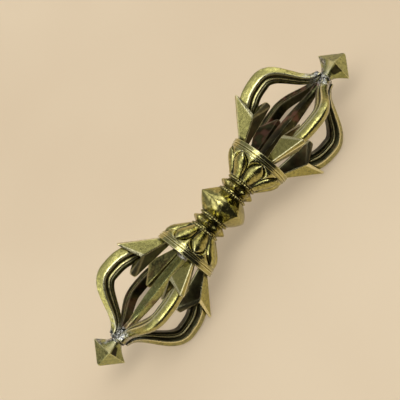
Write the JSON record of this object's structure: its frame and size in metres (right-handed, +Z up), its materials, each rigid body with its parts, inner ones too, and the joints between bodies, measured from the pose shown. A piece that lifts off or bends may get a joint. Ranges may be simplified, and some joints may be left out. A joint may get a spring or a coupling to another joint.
{
  "type": "dorje vajra",
  "caption": "Double-ended ritual sceptre with arched prongs gathered at pyramid finials, barbed roots, lotus cups and a faceted bead at its waist.",
  "frame": {"origin": "on the floor under the middle of the bead", "axes": "+X along the long axis toward the right end, +Z up from the floor, -Y toward the viewer"},
  "size_m": [0.12, 0.0278, 0.0277],
  "materials": {
    "prong_brass": "satin, worn bright on the edges",
    "finial_brass": "satin, speckled casting skin",
    "lotus_brass": "polished, dark in the grooves",
    "collar_brass": "polished, dark in the grooves",
    "rim_brass": "polished",
    "bead_brass": "polished",
    "hidden_rod": "as drawn",
    "tin_solder": "lumpy, dull with bright glints"
  },
  "bodies": {
    "root": {"core_rod": "hidden_rod", "centre_bead": "bead_brass", "collar_left": "collar_brass", "lotus_cup_left": "lotus_brass", "rim_plate_left": "rim_brass", "centre_prong_left": "finial_brass", "tip_solder_left": "tin_solder", "root_solder_left": "tin_solder", "collar_right": "collar_brass", "lotus_cup_right": "lotus_brass", "rim_plate_right": "rim_brass", "centre_prong_right": "finial_brass", "tip_solder_right": "tin_solder", "root_solder_right": "tin_solder", "prong_left_top_front": "prong_brass", "prong_left_top_back": "prong_brass", "prong_left_bottom_front": "prong_brass", "prong_left_bottom_back": "prong_brass", "prong_right_top_front": "prong_brass", "prong_right_top_back": "prong_brass", "prong_right_bottom_front": "prong_brass", "prong_right_bottom_back": "prong_brass"}
  },
  "joints": []
}
